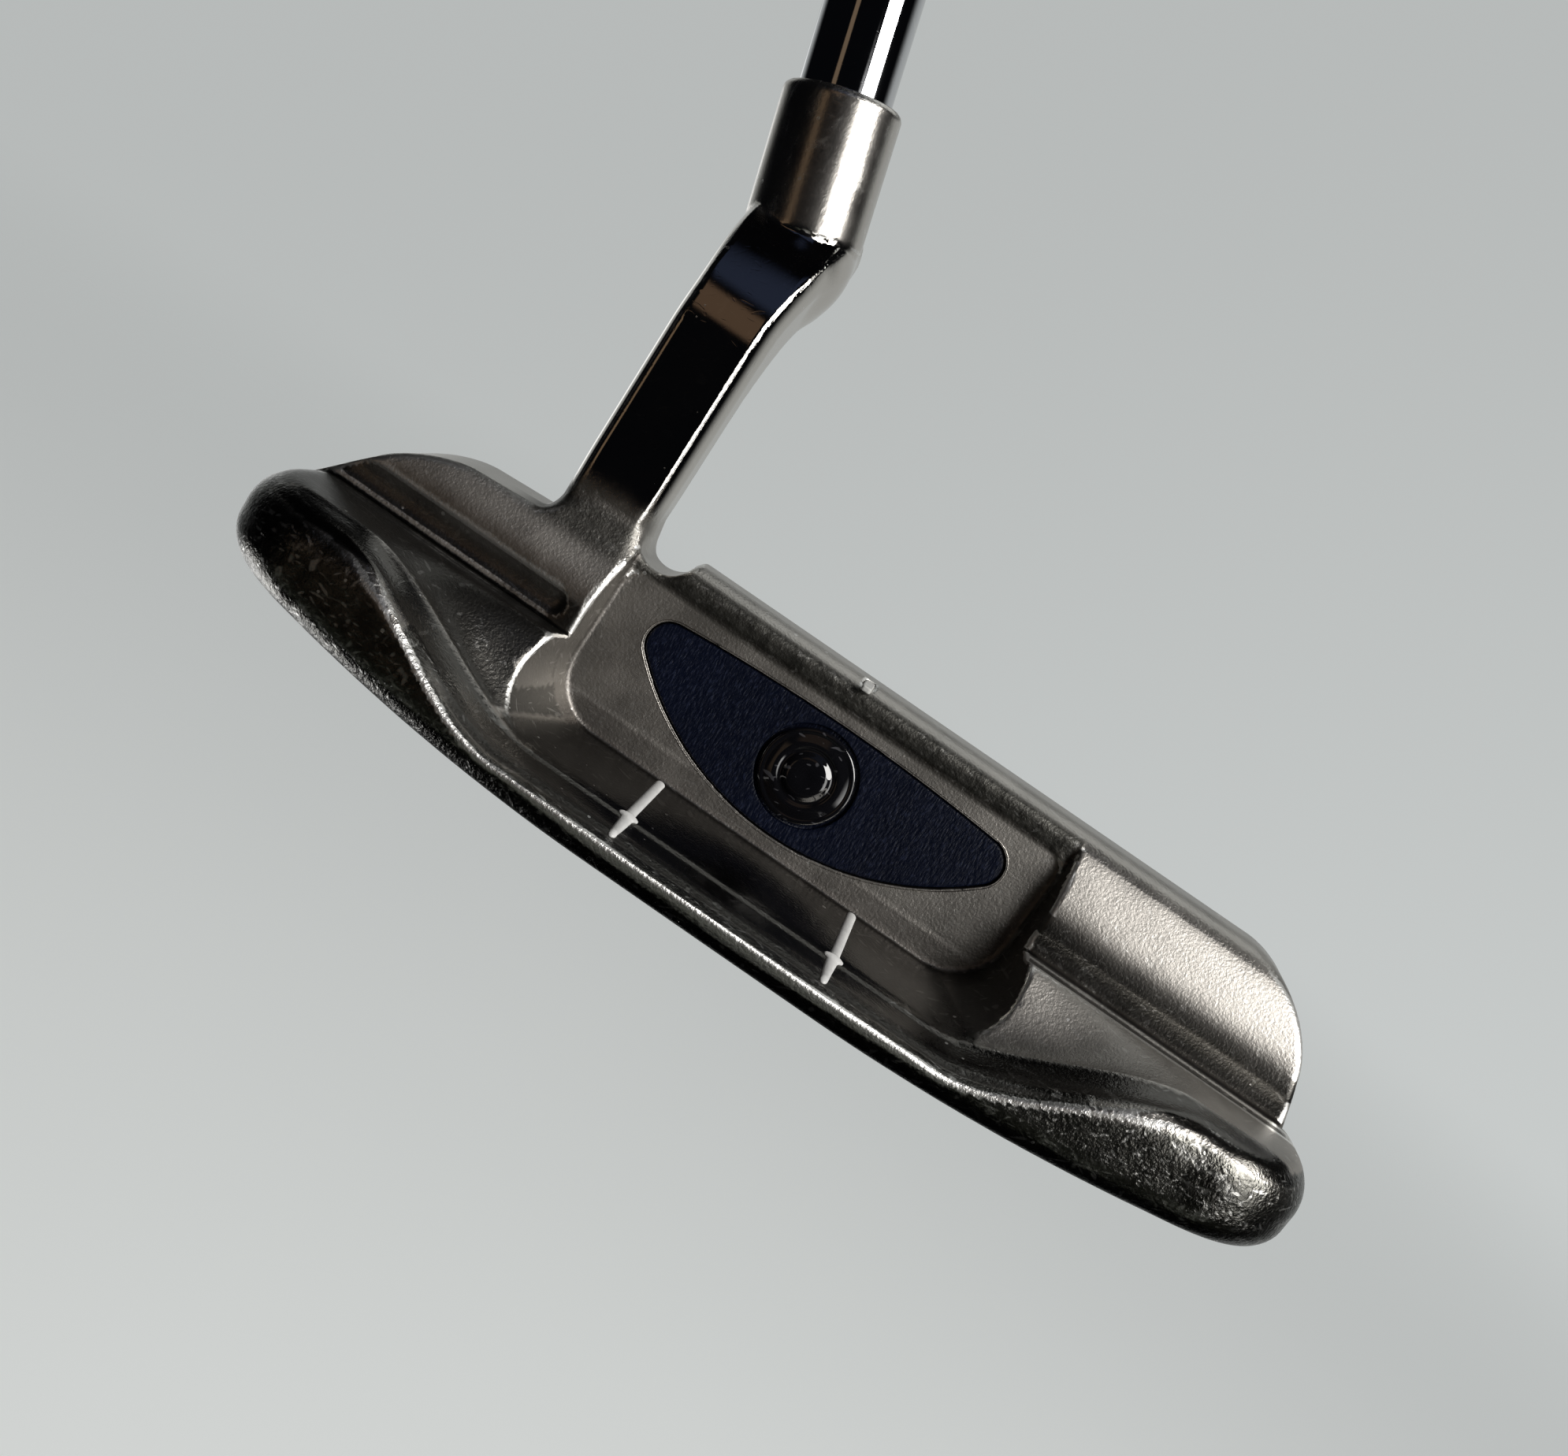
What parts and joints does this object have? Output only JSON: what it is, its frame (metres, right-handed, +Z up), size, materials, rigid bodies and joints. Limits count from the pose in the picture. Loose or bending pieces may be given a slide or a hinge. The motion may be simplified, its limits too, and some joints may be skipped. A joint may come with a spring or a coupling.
{
  "type": "golf putter",
  "caption": "Right-handed heel-toe weighted blade putter with an offset neck, stepped steel shaft and flat-front paddle grip.",
  "frame": {"origin": "on the sole's flat, at the middle of the head from heel to toe and from leading to trailing edge", "axes": "+X from heel to toe, +Y towards the target (out of the face), +Z up, with the club at address"},
  "size_m": [0.3312, 0.0468, 0.8574],
  "materials": {
    "cast_nickel": "satin nickel plating over cast steel, worn to bright metal on the edges",
    "face_polymer": "dark navy moulded polymer",
    "tape_white": "double-sided tape",
    "badge_navy": "dark navy polymer with a fine pebbled texture",
    "adhesive": "cured clear-amber adhesive",
    "medallion_gloss": "glossy black domed enamel",
    "paint_white": "white paint fill",
    "paint_grey": "light grey paint fill",
    "shaft_chrome": "polished chrome plating",
    "plug_metal": "turned steel",
    "grip_rubber": "moulded black rubber with a fine pattern",
    "cap_rubber": "moulded black rubber"
  },
  "bodies": {
    "root": {"head_casting": "cast_nickel", "face_insert": "face_polymer", "insert_tape": "tape_white", "cavity_badge": "badge_navy", "badge_adhesive": "adhesive", "badge_medallion": "medallion_gloss", "sight_line_heel": "paint_white", "sight_line_toe": "paint_white", "topline_sight_mark": "paint_grey", "shaft": "shaft_chrome", "shaft_epoxy": "adhesive", "tip_plug": "plug_metal", "grip": "grip_rubber", "grip_cap": "cap_rubber", "grip_tape": "tape_white"}
  },
  "joints": []
}
